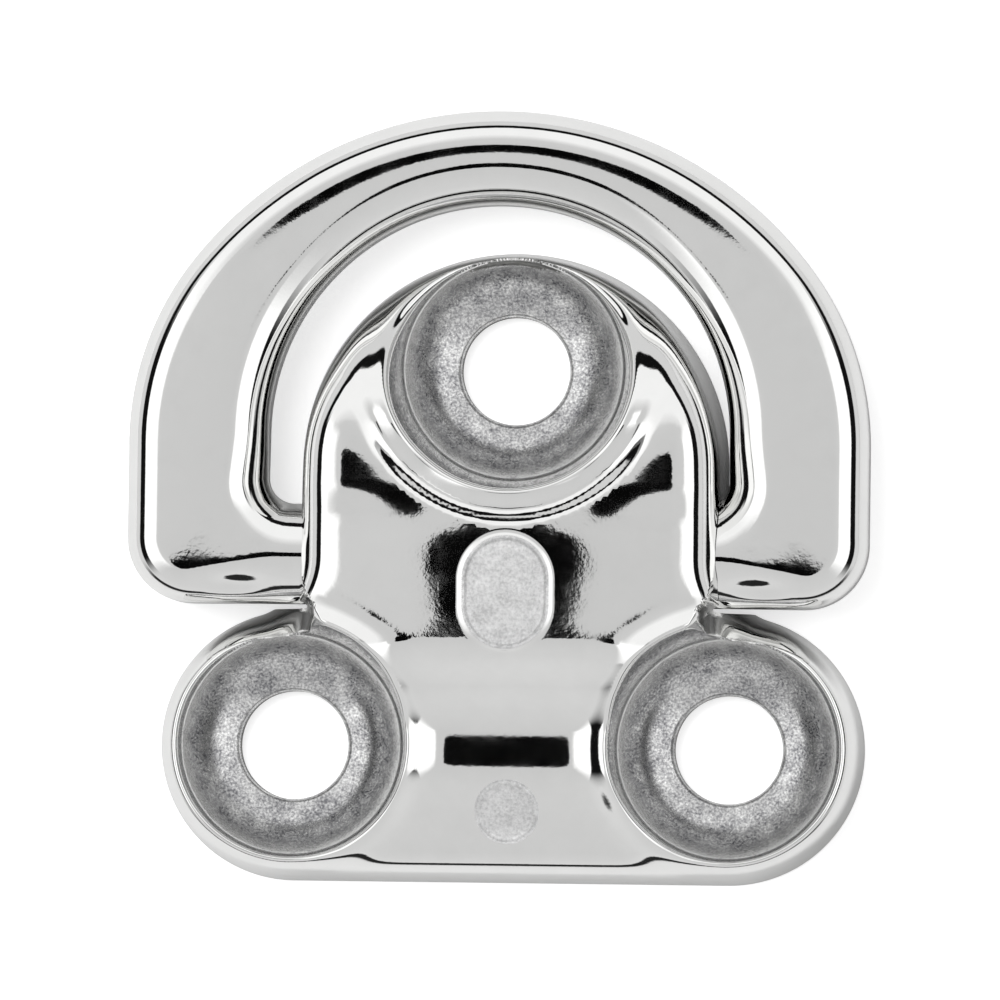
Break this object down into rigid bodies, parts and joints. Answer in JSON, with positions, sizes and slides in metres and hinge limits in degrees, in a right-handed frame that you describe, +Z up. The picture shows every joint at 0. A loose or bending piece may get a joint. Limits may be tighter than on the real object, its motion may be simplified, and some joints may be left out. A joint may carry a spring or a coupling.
{
  "type": "folding pad eye",
  "caption": "Folding pad eye: a forged base with countersunk deck screw holes, and a closed D-ring that hinges under its hump and folds flat round its nose.",
  "frame": {"origin": "centre of the circle of the three deck screws, on the deck", "axes": "+Z up out of the deck, +Y from the centre to the nose screw, +X to the right along the hinge bar"},
  "size_m": [0.0574, 0.0598, 0.0124],
  "materials": {
    "polished_forging": "stainless steel, mirror polished, with satin screw recesses",
    "polished_ring": "stainless steel, mirror polished",
    "keeper_sheet": "stainless steel sheet, mill finish",
    "rivet_steel": "stainless steel, flush set",
    "acetal": "black acetal, machined"
  },
  "bodies": {
    "base": {"base_plate": "polished_forging", "keeper_plate": "keeper_sheet", "keeper_rivets": "rivet_steel", "friction_pads": "acetal"},
    "ring": {"d_ring": "polished_ring"}
  },
  "joints": [
    {"name": "ring_fold", "type": "hinge", "parent": "base", "child": "ring", "pos_m": [0, 0.005, 0.00475], "axis": [1, 0, 0], "range_deg": [0, 135]}
  ]
}
